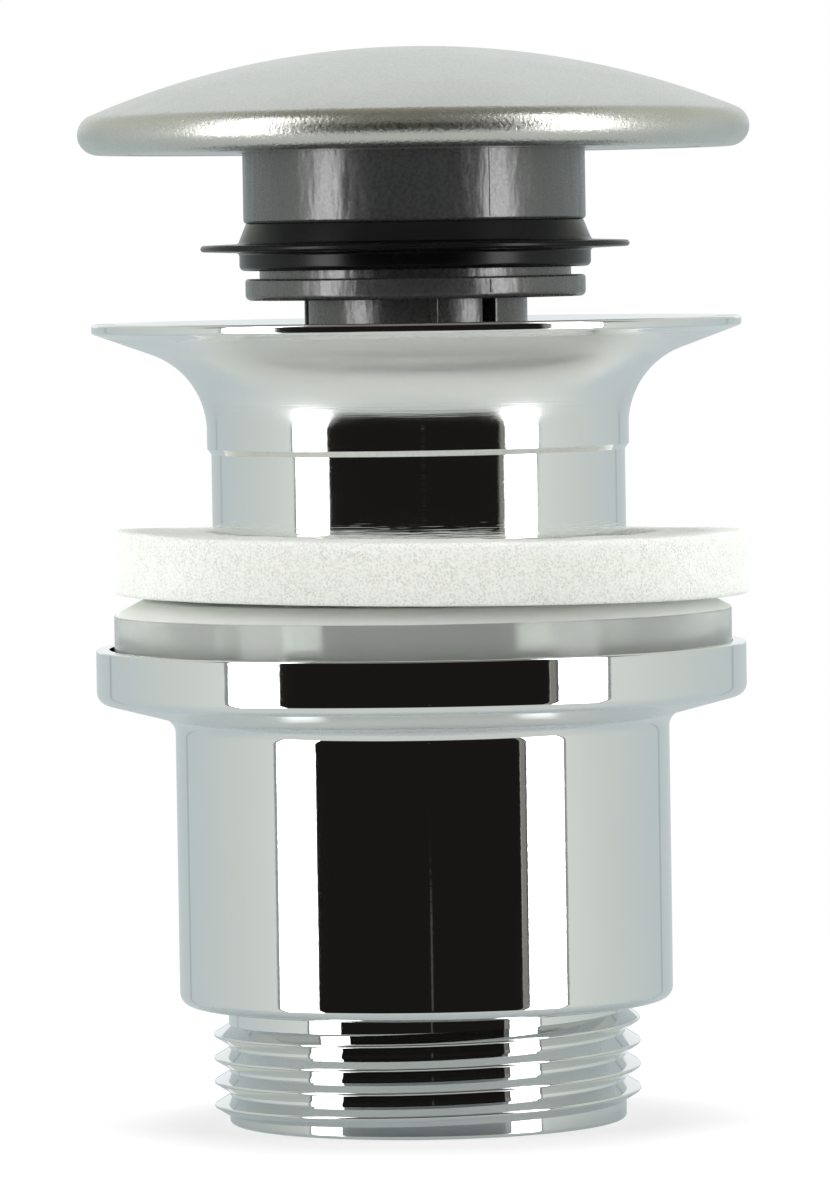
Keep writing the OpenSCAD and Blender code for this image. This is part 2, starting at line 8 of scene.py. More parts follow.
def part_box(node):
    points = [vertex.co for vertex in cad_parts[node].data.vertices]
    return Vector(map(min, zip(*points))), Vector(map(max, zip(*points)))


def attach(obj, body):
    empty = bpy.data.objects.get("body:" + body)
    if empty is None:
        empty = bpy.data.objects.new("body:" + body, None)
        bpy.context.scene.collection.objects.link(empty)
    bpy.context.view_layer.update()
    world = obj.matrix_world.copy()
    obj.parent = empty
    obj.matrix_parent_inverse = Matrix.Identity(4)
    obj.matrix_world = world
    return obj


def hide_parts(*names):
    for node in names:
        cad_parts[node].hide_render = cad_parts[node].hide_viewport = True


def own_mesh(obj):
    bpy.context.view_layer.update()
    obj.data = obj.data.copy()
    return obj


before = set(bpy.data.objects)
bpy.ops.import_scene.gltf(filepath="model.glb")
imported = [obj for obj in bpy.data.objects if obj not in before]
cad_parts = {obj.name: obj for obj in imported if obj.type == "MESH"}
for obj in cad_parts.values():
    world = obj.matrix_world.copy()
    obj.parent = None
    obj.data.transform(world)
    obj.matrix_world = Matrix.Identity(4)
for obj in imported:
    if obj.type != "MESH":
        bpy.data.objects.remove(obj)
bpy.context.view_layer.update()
mm = 0.001
mergeGap = 1e-7
print("frame loaded with", len(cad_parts), "nodes")


# Node helpers, for finishes and for the world

def put(tree, kind, inputs=None, **settings):
    made = tree.nodes.new(kind)
    for name, value in settings.items():
        setattr(made, name, value)
    for socket, value in (inputs or {}).items():
        if isinstance(value, bpy.types.NodeSocket):
            tree.links.new(value, made.inputs[socket])
        else:
            made.inputs[socket].default_value = value
    return made


def speckle(tree, size, detail, stretch=(1, 1, 1)):
    # noise with grains of a size in mm
    place = put(tree, "ShaderNodeTexCoord").outputs["Object"]
    drawn = put(tree, "ShaderNodeMapping", {"Vector": place, "Scale": stretch})
    grain = {"Vector": drawn.outputs["Vector"], "Scale": 1 / (size * mm), "Detail": detail}
    return put(tree, "ShaderNodeTexNoise", grain).outputs["Fac"]


def cells(tree, size):
    place = put(tree, "ShaderNodeTexCoord").outputs["Object"]
    grid = {"Vector": place, "Scale": 1 / (size * mm)}
    return put(tree, "ShaderNodeTexVoronoi", grid).outputs["Distance"]


def spread(tree, fac, low, high, start=0.3, end=0.7):
    # most of what a noise gives lies between 0.3 and 0.7
    sizes = {"Value": fac, "From Min": start, "From Max": end, "To Min": low, "To Max": high}
    return put(tree, "ShaderNodeMapRange", sizes).outputs["Result"]


def tint(tree, fac, first, second):
    return put(tree, "ShaderNodeMix", {0: fac, 6: first, 7: second}, data_type="RGBA").outputs[2]


def combine(tree, first, second, operation="MULTIPLY"):
    return put(tree, "ShaderNodeMath", {0: first, 1: second}, operation=operation).outputs[0]


def relief(tree, fac, depth, over=None):
    # depth in mm
    shape = {"Height": fac, "Distance": depth * mm}
    if over:
        shape["Normal"] = over
    return put(tree, "ShaderNodeBump", shape).outputs["Normal"]


def between(tree, start, full, fade, end):
    # 1 between two heights of a piece in mm, with a blend at both ends
    place = put(tree, "ShaderNodeTexCoord").outputs["Object"]
    z = put(tree, "ShaderNodeSeparateXYZ", {0: place}).outputs["Z"]
    up = spread(tree, z, 0.0, 1.0, start * mm, full * mm)
    return combine(tree, up, spread(tree, z, 1.0, 0.0, fade * mm, end * mm))


def newFinish(name, settings):
    finish = bpy.data.materials.new(name)
    finish.use_nodes = True
    shader = finish.node_tree.nodes["Principled BSDF"]
    for socket, value in settings.items():
        shader.inputs[socket].default_value = value
    return finish, finish.node_tree, shader


def wire(tree, shader, **sockets):
    for name, output in sockets.items():
        tree.links.new(output, shader.inputs[name.replace("_", " ")])


# Mesh helpers: a profile is drawn as radius and height in mm, then turned about the axis

class Outline:
    def __init__(self):
        self.bm = bmesh.new()
        self.first = self.tip = None

    def line(self, x, z, steps=1):
        end = Vector((x, 0, z)) * mm
        if self.tip is None:
            self.first = self.tip = self.bm.verts.new(end)
            return self
        start = self.tip.co.copy()
        if (end - start).length < mergeGap:
            return self
        for i in range(steps):
            self.tip = bmesh.ops.extrude_vert_indiv(self.bm, verts=[self.tip])["verts"][0]
            self.tip.co = start.lerp(end, (i + 1) / steps)
        return self

    def path(self, *points):
        for x, z in points:
            self.line(x, z)
        return self

    def arc(self, x, z, r, start, end, steps):
        # angles in degrees from +X towards +Z
        self.line(x + r * cos(radians(start)), z + r * sin(radians(start)))
        swept = bmesh.ops.spin(self.bm, geom=[self.tip], cent=Vector((x, 0, z)) * mm, axis=(0, -1, 0),
                               angle=radians(end - start), steps=steps)
        self.tip = swept["geom_last"][0]
        return self

    def close(self):
        self.bm.edges.new((self.tip, self.first))
        return self

    def turned(self, steps):
        bm = self.bm
        bmesh.ops.spin(bm, geom=bm.verts[:] + bm.edges[:], cent=(0, 0, 0), axis=(0, 0, 1), angle=2 * pi,
                       steps=steps, use_merge=True)
        return settled(bm)

    def sector(self, start, sweep, steps):
        # part of a turn from a closed profile, with both ends filled
        bm = self.bm
        toStart = Matrix.Rotation(radians(start), 3, "Z")
        bmesh.ops.rotate(bm, verts=bm.verts[:], cent=(0, 0, 0), matrix=toStart)
        bmesh.ops.spin(bm, geom=bm.verts[:] + bm.edges[:], cent=(0, 0, 0), axis=(0, 0, 1),
                       angle=radians(sweep), steps=steps)
        return settled(bm)


def settled(bm):
    # merges doubles, fills open ends and turns the faces outwards
    bmesh.ops.remove_doubles(bm, verts=bm.verts[:], dist=mergeGap)
    openEdges = [e for e in bm.edges if e.is_boundary]
    if openEdges:
        bmesh.ops.holes_fill(bm, edges=openEdges, sides=0)
    bmesh.ops.recalc_face_normals(bm, faces=bm.faces[:])
    return bm


def softEdges(bm, width, least=50):
    # rounds every edge that turns by more than the least angle
    corners = [e for e in bm.edges if e.is_manifold and e.calc_face_angle() > radians(least)]
    bmesh.ops.bevel(bm, geom=corners, offset=width * mm, offset_type="OFFSET", affect="EDGES", segments=2,
                    profile=0.5, material=-1)
    return bm


def addTo(bm, part):
    # copies a finished part into another bmesh
    carrier = bpy.data.meshes.new("carrier")
    part.to_mesh(carrier)
    part.free()
    bm.from_mesh(carrier)
    bpy.data.meshes.remove(carrier)


def coil(section, runs, steps):
    # sweeps a closed profile up a helix; runs are pairs of turns and rise in mm
    bm = section.bm
    geom = bm.verts[:] + bm.edges[:]
    for turns, rise in runs:
        count = round(turns * steps)
        swept = bmesh.ops.spin(bm, geom=geom, cent=(0, 0, 0), axis=(0, 0, 1), angle=2 * pi * turns,
                               steps=count, dvec=(0, 0, rise * mm / count))
        geom = swept["geom_last"]
    return bm


def span(node):
    # lowest and highest point of a CAD node and half its width, in mm
    low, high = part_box(node)
    return low.z / mm, high.z / mm, (high.x - low.x) / 2 / mm


def asObject(bm, name, finish):
    mesh = bpy.data.meshes.new(name)
    bm.to_mesh(mesh)
    bm.free()
    mesh.materials.append(finish)
    piece = bpy.data.objects.new(name, mesh)
    bpy.context.collection.objects.link(piece)
    return piece


def handOver(bm, name, finish, body, node, sharp=32):
    piece = asObject(bm, name, finish)
    piece.data.shade_smooth()
    piece.data.set_sharp_from_angle(angle=radians(sharp))
    evened = piece.modifiers.new("evenShading", "WEIGHTED_NORMAL")
    evened.keep_sharp = True
    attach(piece, body)
    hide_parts(node)
    print("made", name, "with", len(piece.data.polygons), "faces")
    return piece


# Satin nickel of the cap: bead-blasted grain, strongest on the rim, and paler worn patches

satinSet = {"color": (0.58, 0.58, 0.545, 1), "worn": (0.63, 0.63, 0.60, 1), "grain": 0.3, "patch": 9.0,
            "rough": (0.25, 0.35), "grainDepth": 0.04, "domeShare": 0.12, "rim": (90, 91, 98.6, 99.6)}


def makeSatin():
    s = satinSet
    finish, tree, shader = newFinish("satinNickel", {"Metallic": 1.0})
    patch = speckle(tree, s["patch"], detail=3.0)
    grain = speckle(tree, s["grain"], detail=3.0)
    coarse = spread(tree, between(tree, *s["rim"]), s["domeShare"], 1.0, 0.0, 1.0)
    wire(tree, shader,
         Base_Color=tint(tree, spread(tree, patch, 0.0, 1.0), s["color"], s["worn"]),
         Roughness=spread(tree, grain, *s["rough"]),
         Normal=relief(tree, combine(tree, grain, coarse), s["grainDepth"]))
    return finish


# Chrome plate: on the flange over fine turning lines, on the tail over a smooth casting

chromeSet = {"color": (0.82, 0.83, 0.825, 1), "dull": (0.79, 0.80, 0.80, 1), "smear": 11.0, "hazeRange": 3,
             "wave": 7.0, "waveDepth": 0.004, "pit": 0.5, "pitDepth": 0.0008, "lines": 0.14}
turnedSet = {"lineDepth": 0.009, "haze": 0.09, "dullness": 0.26, "dullHeights": (68.4, 71.0, 76.9, 77.4)}
castSet = {"lineDepth": 0.0, "haze": 0.04, "dullness": 0.32, "dullHeights": (39.2, 40.0, 41.5, 42.0)}


def makeChrome(name, own):
    s = chromeSet
    finish, tree, shader = newFinish(name, {"Metallic": 1.0})
    smear = speckle(tree, s["smear"], detail=4.0, stretch=(1, 1, 0.6))
    wave = speckle(tree, s["wave"], detail=1.0)
    pit = speckle(tree, s["pit"], detail=2.0)
    surface = relief(tree, pit, s["pitDepth"], relief(tree, wave, s["waveDepth"]))
    if own["lineDepth"]:
        lines = speckle(tree, s["lines"], detail=2.0, stretch=(0.02, 0.02, 1))
        surface = relief(tree, lines, own["lineDepth"], surface)
    polish = spread(tree, smear, own["haze"] / s["hazeRange"], own["haze"])
    dull = combine(tree, between(tree, *own["dullHeights"]), own["dullness"])
    wire(tree, shader,
         Base_Color=tint(tree, spread(tree, smear, 0.0, 1.0), s["color"], s["dull"]),
         Roughness=combine(tree, polish, dull, "ADD"),
         Normal=surface)
    return finish


# Grey moulded plastic: flow waves up the wall and a fine mould texture

plasticSet = {"color": (0.048, 0.049, 0.048, 1), "pale": (0.058, 0.059, 0.058, 1), "flow": 2.0,
              "flowDepth": 0.13, "grain": 0.35, "grainDepth": 0.0008, "rough": (0.24, 0.32)}


def makePlastic():
    s = plasticSet
    finish, tree, shader = newFinish("greyPlastic", {"IOR": 1.6, "Specular IOR Level": 1.0})
    flow = speckle(tree, s["flow"], detail=3.0, stretch=(1, 1, 0.3))
    grain = speckle(tree, s["grain"], detail=2.0)
    wire(tree, shader,
         Base_Color=tint(tree, spread(tree, flow, 0.0, 1.0), s["color"], s["pale"]),
         Roughness=spread(tree, grain, *s["rough"]),
         Normal=relief(tree, grain, s["grainDepth"], relief(tree, flow, s["flowDepth"])))
    return finish


# Black rubber of the lip seal, with a faint bloom

rubberSet = {"color": (0.003, 0.003, 0.003, 1), "bloom": (0.006, 0.006, 0.006, 1), "bloomSize": 4.0,
             "grain": 0.18, "grainDepth": 0.003, "rough": (0.22, 0.3)}


def makeRubber():
    s = rubberSet
    finish, tree, shader = newFinish("blackRubber", {"IOR": 1.5, "Specular IOR Level": 0.24})
    bloom = speckle(tree, s["bloomSize"], detail=3.0)
    grain = speckle(tree, s["grain"], detail=2.0)
    wire(tree, shader,
         Base_Color=tint(tree, spread(tree, bloom, 0.0, 1.0), s["color"], s["bloom"]),
         Roughness=spread(tree, bloom, *s["rough"]),
         Normal=relief(tree, grain, s["grainDepth"]))
    return finish


# White closed-cell foam: pores in clusters, and light that goes a little way in

foamSet = {"color": (0.93, 0.94, 0.89, 1), "pore": (0.67, 0.69, 0.63, 1), "cell": 0.24,
           "poreEdge": (0.14, 0.64), "poreDepth": -0.06, "cluster": 1.1, "clusterShare": 0.35, "fine": 0.28,
           "fineDepth": 0.05, "glow": 4.0}


def makeFoam():
    s = foamSet
    finish, tree, shader = newFinish("whiteFoam", {
        "IOR": 1.3, "Roughness": 0.75, "Subsurface Weight": 0.8, "Subsurface Scale": s["glow"] * mm,
        "Subsurface Radius": (1.0, 1.0, 0.95)})
    cell = spread(tree, cells(tree, s["cell"]), 1.0, 0.0, *s["poreEdge"])
    cluster = spread(tree, speckle(tree, s["cluster"], detail=3.0), s["clusterShare"], 1.0)
    fine = speckle(tree, s["fine"], detail=2.0)
    pore = combine(tree, cell, cluster)
    wire(tree, shader,
         Base_Color=tint(tree, pore, s["color"], s["pore"]),
         Normal=relief(tree, fine, s["fineDepth"], relief(tree, pore, s["poreDepth"])))
    return finish


# Translucent silicone: a clear wall with cloudy patches, milky and frosted on the chamfer

siliconeSet = {"color": (0.84, 0.89, 0.83, 1), "cloud": (0.88, 0.92, 0.87, 1), "cloudSize": 6.0,
               "grain": 0.26, "grainDepth": 0.004, "rough": (0.08, 0.14), "clear": 0.66, "milky": 0.05,
               "frost": 0.42, "frostHeights": (49.95, 50.1, 52, 53), "glow": 8.0}


def makeSilicone():
    s = siliconeSet
    finish, tree, shader = newFinish("clearSilicone", {
        "IOR": 1.41, "Subsurface Weight": 1.0, "Subsurface Scale": s["glow"] * mm,
        "Subsurface Radius": (0.95, 1.0, 0.92)})
    cloud = speckle(tree, s["cloudSize"], detail=3.0)
    grain = speckle(tree, s["grain"], detail=3.0)
    chamfer = between(tree, *s["frostHeights"])
    frost = combine(tree, chamfer, s["frost"])
    wire(tree, shader,
         Base_Color=tint(tree, spread(tree, cloud, 0.0, 1.0), s["color"], s["cloud"]),
         Roughness=combine(tree, spread(tree, cloud, *s["rough"]), frost, "ADD"),
         Transmission_Weight=spread(tree, chamfer, s["clear"], s["milky"], 0, 1),
         Normal=relief(tree, grain, s["grainDepth"]))
    return finish


# Finishes of the hidden mechanism

acetalSet = {"flow": 3.0, "grain": 0.3, "grainDepth": 0.002, "rough": (0.32, 0.44), "glow": 0.8,
             "white": ((0.74, 0.73, 0.70, 1), (0.80, 0.79, 0.765, 1)),
             "blue": ((0.04, 0.15, 0.33, 1), (0.055, 0.18, 0.37, 1))}


def makeAcetal(name, tones):
    s = acetalSet
    finish, tree, shader = newFinish(name, {
        "IOR": 1.48, "Subsurface Weight": 0.15, "Subsurface Scale": s["glow"] * mm})
    flow = speckle(tree, s["flow"], detail=3.0, stretch=(1, 1, 0.4))
    grain = speckle(tree, s["grain"], detail=2.0)
    wire(tree, shader,
         Base_Color=tint(tree, spread(tree, flow, 0.0, 1.0), *tones),
         Roughness=spread(tree, grain, *s["rough"]),
         Normal=relief(tree, grain, s["grainDepth"]))
    return finish


steelSet = {"color": (0.62, 0.625, 0.62, 1), "dull": (0.54, 0.545, 0.54, 1), "stain": 5.0, "brush": 0.16,
            "brushDepth": 0.0015, "rough": (0.2, 0.34)}


def makeSteel():
    s = steelSet
    finish, tree, shader = newFinish("brightSteel", {"Metallic": 1.0})
    brush = speckle(tree, s["brush"], detail=3.0, stretch=(0.06, 1, 1))
    stain = speckle(tree, s["stain"], detail=3.0)
    wire(tree, shader,
         Base_Color=tint(tree, spread(tree, stain, 0.0, 1.0), s["color"], s["dull"]),
         Roughness=spread(tree, brush, *s["rough"]),
         Normal=relief(tree, brush, s["brushDepth"]))
    return finish


satinNickel = makeSatin()
turnedChrome = makeChrome("turnedChrome", turnedSet)
castChrome = makeChrome("castChrome", castSet)
greyPlastic = makePlastic()
blackRubber = makeRubber()
whiteFoam = makeFoam()
clearSilicone = makeSilicone()
whiteAcetal = makeAcetal("whiteAcetal", acetalSet["white"])
blueAcetal = makeAcetal("blueAcetal", acetalSet["blue"])
brightSteel = makeSteel()
print("finishes made")


# Dome cap: a shallow crown that runs into a rolled rim, folded in underneath

domeCapSet = {"roll": 2.0, "sheet": 0.8, "lip": 2.8, "domeSteps": 44, "rollSteps": 30, "around": 180}


def makeDomeCap():
    s = domeCapSet
    rimZ, crownZ, capR = span("dome_cap")
    roll, sheet = s["roll"], s["sheet"]
    rollX, rollZ = capR - roll, rimZ + roll
    rise = crownZ - rollZ
    domeR = (rollX ** 2 + rise ** 2 - roll ** 2) / (2 * (rise - roll))
    domeZ = crownZ - domeR
    domeEnd = degrees(atan2(rollZ - domeZ, rollX))
    lipX = rollX - s["lip"]
    o = Outline()
    o.arc(0, domeZ, domeR, 90, domeEnd, s["domeSteps"])
    o.arc(rollX, rollZ, roll, domeEnd, -90, s["rollSteps"])
    o.path((lipX, rimZ), (lipX, rimZ + sheet))
    o.arc(rollX, rollZ, roll - sheet, -90, domeEnd, s["rollSteps"])
    o.arc(0, domeZ, domeR - sheet, domeEnd, 90, s["domeSteps"])
    return handOver(o.turned(s["around"]), "domeCap", satinNickel, "plug", "dome_cap")


# Plate under the cap: seated on the plug, pressed down to lie flush with the folded rim

plateSet = {"boltR": 2.7, "seatR": 17.1, "slope": 0.3, "drop": 0.87, "rimGap": 0.1, "around": 144}


def makeCapPlate():
    s = plateSet
    lowZ, highZ, outR = span("cap_backplate")
    rimIn = span("dome_cap")[2] - domeCapSet["roll"] - domeCapSet["lip"] - s["rimGap"]
    pressedZ = lowZ - s["drop"]
    boltR, seatR, slope = s["boltR"], s["seatR"], s["slope"]
    o = Outline()
    o.path((boltR, lowZ), (seatR, lowZ), (seatR + slope, pressedZ), (rimIn - slope, pressedZ),
           (rimIn, pressedZ + slope), (rimIn, lowZ), (outR, lowZ), (outR, highZ), (boltR, highZ))
    bm = o.close().turned(s["around"])
    return handOver(bm, "capPlate", brightSteel, "plug", "cap_backplate")


# Plug: collar, seal groove and foot in one turn, three stem leaves, fine ribs and the mould seam

plugSet = {"collarR": 16.75, "collarH": 7.8, "grooveR": 15.25, "grooveH": 5.4, "footR": 16.65, "footH": 2.1,
           "edge": 0.4, "footEdge": 0.55, "stemR": 10.9, "stemWall": 1.6, "leaves": 3, "slot": 1.6,
           "slotAt": -49, "leafEdge": 0.25, "sink": 0.4, "ribAt": -81, "ribW": 0.8, "ribH": 0.3,
           "ribStart": 1, "ribRoot": 0.5, "ribEdge": 0.12, "pocketR": 13.35, "bossR": 4.1, "studR": 2.5,
           "web": 2.5, "webDrop": 0.25, "seamAt": -64, "seamW": 0.28, "seamH": 0.07, "seamEdge": 0.03,
           "edgeSteps": 8, "topSteps": 5, "leafSteps": 40, "around": 144}


def ribOn(bm, r, width, height, low, high, angle, edge):
    # a fine rib standing out of a round wall
    root = plugSet["ribRoot"]
    size = Matrix.Diagonal(((height + root) * mm, width * mm, (high - low) * mm, 1))
    place = Matrix.Translation(Vector((r + (height - root) / 2, 0, (low + high) / 2)) * mm)
    part = bmesh.new()
    bmesh.ops.create_cube(part, size=1, matrix=Matrix.Rotation(radians(angle), 4, "Z") @ place @ size)
    addTo(bm, softEdges(part, edge))


def makePlugBody():
    s = plugSet
    stemZ, plateZ, _ = span("plug_body")
    collarZ = plateZ - s["collarH"]
    footTopZ = collarZ - s["grooveH"]
    footZ = footTopZ - s["footH"]
    webTopZ = collarZ - s["webDrop"]
    webZ = webTopZ - s["web"]
    stemR, stemIn = s["stemR"], s["stemR"] - s["stemWall"]
    edge, footEdge, topEdge = s["edge"], s["footEdge"], s["footEdge"] / 2
    o = Outline()
    o.path((s["studR"], webZ), (stemIn, webZ), (stemIn, footZ))
    o.arc(s["footR"] - footEdge, footZ + footEdge, footEdge, -90, 0, s["edgeSteps"])
    o.arc(s["footR"] - topEdge, footTopZ - topEdge, topEdge, 0, 90, s["topSteps"])
    o.path((s["grooveR"], footTopZ), (s["grooveR"], collarZ))
    o.arc(s["collarR"] - edge, collarZ + edge, edge, -90, 0, s["edgeSteps"])
    o.path((s["collarR"], plateZ), (s["pocketR"], plateZ), (s["pocketR"], webTopZ), (s["bossR"], webTopZ),
           (s["bossR"], plateZ), (s["studR"], plateZ))
    bm = o.close().turned(s["around"])
    gap = degrees(s["slot"] / stemR)
    share = 360 / s["leaves"]
    leafZ = footZ + s["sink"]
    for i in range(s["leaves"]):
        leaf = Outline().path((stemIn, stemZ), (stemR, stemZ), (stemR, leafZ), (stemIn, leafZ)).close()
        swept = leaf.sector(s["slotAt"] + i * share + gap / 2, share - gap, s["leafSteps"])
        addTo(bm, softEdges(swept, s["leafEdge"]))
        ribOn(bm, stemR, s["ribW"], s["ribH"], stemZ + s["ribStart"], leafZ, s["ribAt"] + i * share,
              s["ribEdge"])
    collarWall = (s["collarR"], collarZ + edge, plateZ)
    footWall = (s["footR"], footZ + footEdge, footTopZ - topEdge)
    for r, low, high in (collarWall, footWall):
        for side in (0, 180):
            ribOn(bm, r, s["seamW"], s["seamH"], low, high, s["seamAt"] + side, s["seamEdge"])
    return handOver(bm, "plugBody", greyPlastic, "plug", "plug_body")


# Lip seal: a ring in the groove with one thin lip

sealSet = {"innerR": 15.3, "rootR": 17.2, "topR": 16.55, "lipAt": 2.2, "lipT": 0.9, "lipSlope": 5,
           "tipR": 0.32, "edge": 0.55, "topEdge": 0.1, "fillet": 0.3, "press": 0.09, "edgeSteps": 8,
           "filletSteps": 6, "tipSteps": 10, "topSteps": 5, "around": 144}


def makePlugSeal():
    s = sealSet
    lowZ, highZ, lipR = span("plug_seal")
    highZ += s["press"]
    lipZ, halfLip = lowZ + s["lipAt"], s["lipT"] / 2
    edge, topEdge, fillet = s["edge"], s["topEdge"], s["fillet"]
    lean = degrees(atan2(s["rootR"] - s["topR"], highZ - lipZ - halfLip))
    filletX = s["rootR"] + fillet
    o = Outline()
    o.line(s["innerR"], lowZ)
    o.arc(s["rootR"] - edge, lowZ + edge, edge, -90, 0, s["edgeSteps"])
    o.arc(filletX, lipZ - halfLip - fillet, fillet, 180, 90 + s["lipSlope"], s["filletSteps"])
    o.arc(lipR - s["tipR"], lipZ, s["tipR"], -90, 90, s["tipSteps"])
    o.arc(filletX, lipZ + halfLip + fillet, fillet, 270 - s["lipSlope"], 180 + lean, s["filletSteps"])
    o.arc(s["topR"] - topEdge, highZ - topEdge, topEdge, lean, 90, s["topSteps"])
    o.line(s["innerR"], highZ)
    bm = o.close().turned(s["around"])
    return handOver(bm, "plugSeal", blackRubber, "plug", "plug_seal", sharp=40)


# Flange, trumpet, neck and the long tube below it

flangeSet = {"rim": 1.0, "rimEdge": 0.3, "rimFlat": 1.9, "flareR": 8.0, "slope": 20, "shoulderR": 20.65,
             "shoulderH": 2.3, "shoulderStep": 0.55, "neckR": 20.25, "neckL": 20.5, "bore": 18.25,
             "threadR": 19.95, "threadStep": 0.3, "ledgeR": 16.85, "ledgeH": 2.0, "seatR": 21.3,
             "seatLow": 5.05, "seatHigh": 2.55, "edge": 0.25, "flareSteps": 40, "edgeSteps": 8, "around": 192}


def makeFlangeTube():
    s = flangeSet
    tubeZ, topZ, flangeR = span("flange_tube")
    rimEdge, edge = s["rimEdge"], s["edge"]
    turn, slope = 90 - s["slope"], radians(s["slope"])
    rimX, rimZ = flangeR - rimEdge, topZ - s["rim"] + rimEdge
    flareX = s["shoulderR"] + s["flareR"] * (1 - cos(radians(turn)))
    flareEndZ = rimZ - rimEdge / cos(slope) - (rimX - flareX) * tan(slope)
    flareZ = flareEndZ - s["flareR"] * sin(radians(turn))
    shoulderZ = flareZ - s["shoulderH"]
    neckZ = shoulderZ - s["neckL"]
    ledgeZ = tubeZ + s["ledgeH"]
    seatLow, seatHigh = topZ - s["seatLow"], topZ - s["seatHigh"]
    o = Outline()
    o.path((s["ledgeR"], tubeZ), (s["threadR"] - edge, tubeZ), (s["threadR"], tubeZ + edge),
           (s["threadR"], neckZ - s["threadStep"]), (s["neckR"], neckZ), (s["neckR"], shoulderZ),
           (s["shoulderR"], shoulderZ + s["shoulderStep"]))
    o.arc(s["shoulderR"] + s["flareR"], flareZ, s["flareR"], 180, 180 - turn, s["flareSteps"])
    o.arc(rimX, rimZ, rimEdge, s["slope"] - 90, 0, s["edgeSteps"])
    o.arc(rimX, topZ - rimEdge, rimEdge, 0, 90, s["edgeSteps"])
    o.path((rimX - s["rimFlat"], topZ), (s["seatR"], seatHigh), (s["seatR"], seatLow),
           (s["bore"], seatLow - s["seatR"] + s["bore"]), (s["bore"], ledgeZ), (s["ledgeR"], ledgeZ))
    bm = o.close().turned(s["around"])
    return handOver(bm, "flangeTube", turnedChrome, "upper", "flange_tube", sharp=24)


# Foam washer: a cut ring with soft edges and an uneven, granular skin

foamWasherSet = {"holeR": 21.9, "edge": 0.45, "cutEdge": 0.3, "step": 0.7, "edgeSteps": 6, "cutSteps": 4,
                 "holeSteps": 3, "around": 260, "swell": 0.10, "swellSize": 5.0, "grit": 0.05,
                 "gritSize": 0.8, "seatGap": 0.02, "seatNormal": -0.5, "tilt": 0.75, "lift": 0.03,
                 "loft": 0.2, "backDrop": 0.6, "endLift": 0.25, "endCurve": 4}


def makeFoamWasher():
    s = foamWasherSet
    lowZ, topZ, outR = span("foam_washer")
    low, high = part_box("foam_washer")
    edge, cut, room = s["edge"], s["cutEdge"], s["swell"] + s["grit"]
    outX, lowZ, topZ = outR - room, lowZ + s["seatGap"], topZ - room + s["loft"]
    holeX = s["holeR"] + cut
    across = round((outX - s["holeR"]) / s["step"])
    up = round((topZ - lowZ - edge) / s["step"])
    o = Outline()
    o.line(holeX, lowZ)
    o.line(outX - cut, lowZ, across)
    o.arc(outX - cut, lowZ + cut, cut, -90, 0, s["cutSteps"])
    o.line(outX, topZ - edge, up)
    o.arc(outX - edge, topZ - edge, edge, 0, 90, s["edgeSteps"])
    o.line(holeX, topZ, across)
    o.arc(holeX, topZ - cut, cut, 90, 180, s["holeSteps"])
    o.line(s["holeR"], lowZ + cut, up)
    bm = o.close().turned(s["around"])
    # cut a little thinner at the back and thicker at both ends
    for v in bm.verts:
        share = (v.co.z / mm - lowZ) / (topZ - lowZ)
        x, y = v.co.x / mm / outX, v.co.y / mm / outX
        v.co.z += share * (s["endLift"] * x ** s["endCurve"] - s["backDrop"] * max(0, y)) * mm
    tilt = Matrix.Rotation(radians(s["tilt"]), 3, "Y")
    bmesh.ops.rotate(bm, verts=bm.verts[:], cent=(0, 0, lowZ * mm), matrix=tilt)
    bmesh.ops.translate(bm, verts=bm.verts[:], vec=((low.x + high.x) / 2, 0, s["lift"] * mm))
    bm.normal_update()
    # the skin is uneven, but the underside stays flat on the silicone
    for v in bm.verts:
        rough = s["swell"] * noise.noise(v.co / (s["swellSize"] * mm))
        rough += s["grit"] * noise.noise(v.co / (s["gritSize"] * mm))
        if v.normal.z > s["seatNormal"]:
            v.co += v.normal * rough * mm
    piece = handOver(bm, "foamWasher", whiteFoam, "gaskets", "foam_washer", sharp=60)
    return piece


# Silicone seal: a thick ring with a chamfer and a shallow cone on top

siliconeSealSet = {"holeR": 20.55, "topR": 27.5, "crownR": 21.9, "edgeH": 6.2, "chamferH": 1.45, "edge": 0.22,
                   "shift": 0.22, "edgeSteps": 5, "around": 160}


def makeConeSeal():
    s = siliconeSealSet
    lowZ, topZ, outR = span("cone_seal")
    edgeZ, edge = lowZ + s["edgeH"], s["edge"]
    chamferZ = edgeZ + s["chamferH"]
    lean = degrees(atan2(s["chamferH"], outR - s["topR"]))
    o = Outline()
    o.path((s["holeR"], lowZ), (outR - edge, lowZ), (outR, lowZ + edge))
    o.arc(outR - edge, edgeZ - edge / 2, edge, 0, 90 - lean, s["edgeSteps"])
    o.path((s["topR"], chamferZ), (s["crownR"], topZ), (s["holeR"], topZ))
    bm = o.close().turned(s["around"])
    bmesh.ops.translate(bm, verts=bm.verts[:], vec=(s["shift"] * mm, 0, 0))
    return handOver(bm, "coneSeal", clearSilicone, "gaskets", "cone_seal", sharp=20)


# Tail: collar, body, screwed bore, and an outlet with a right-hand thread

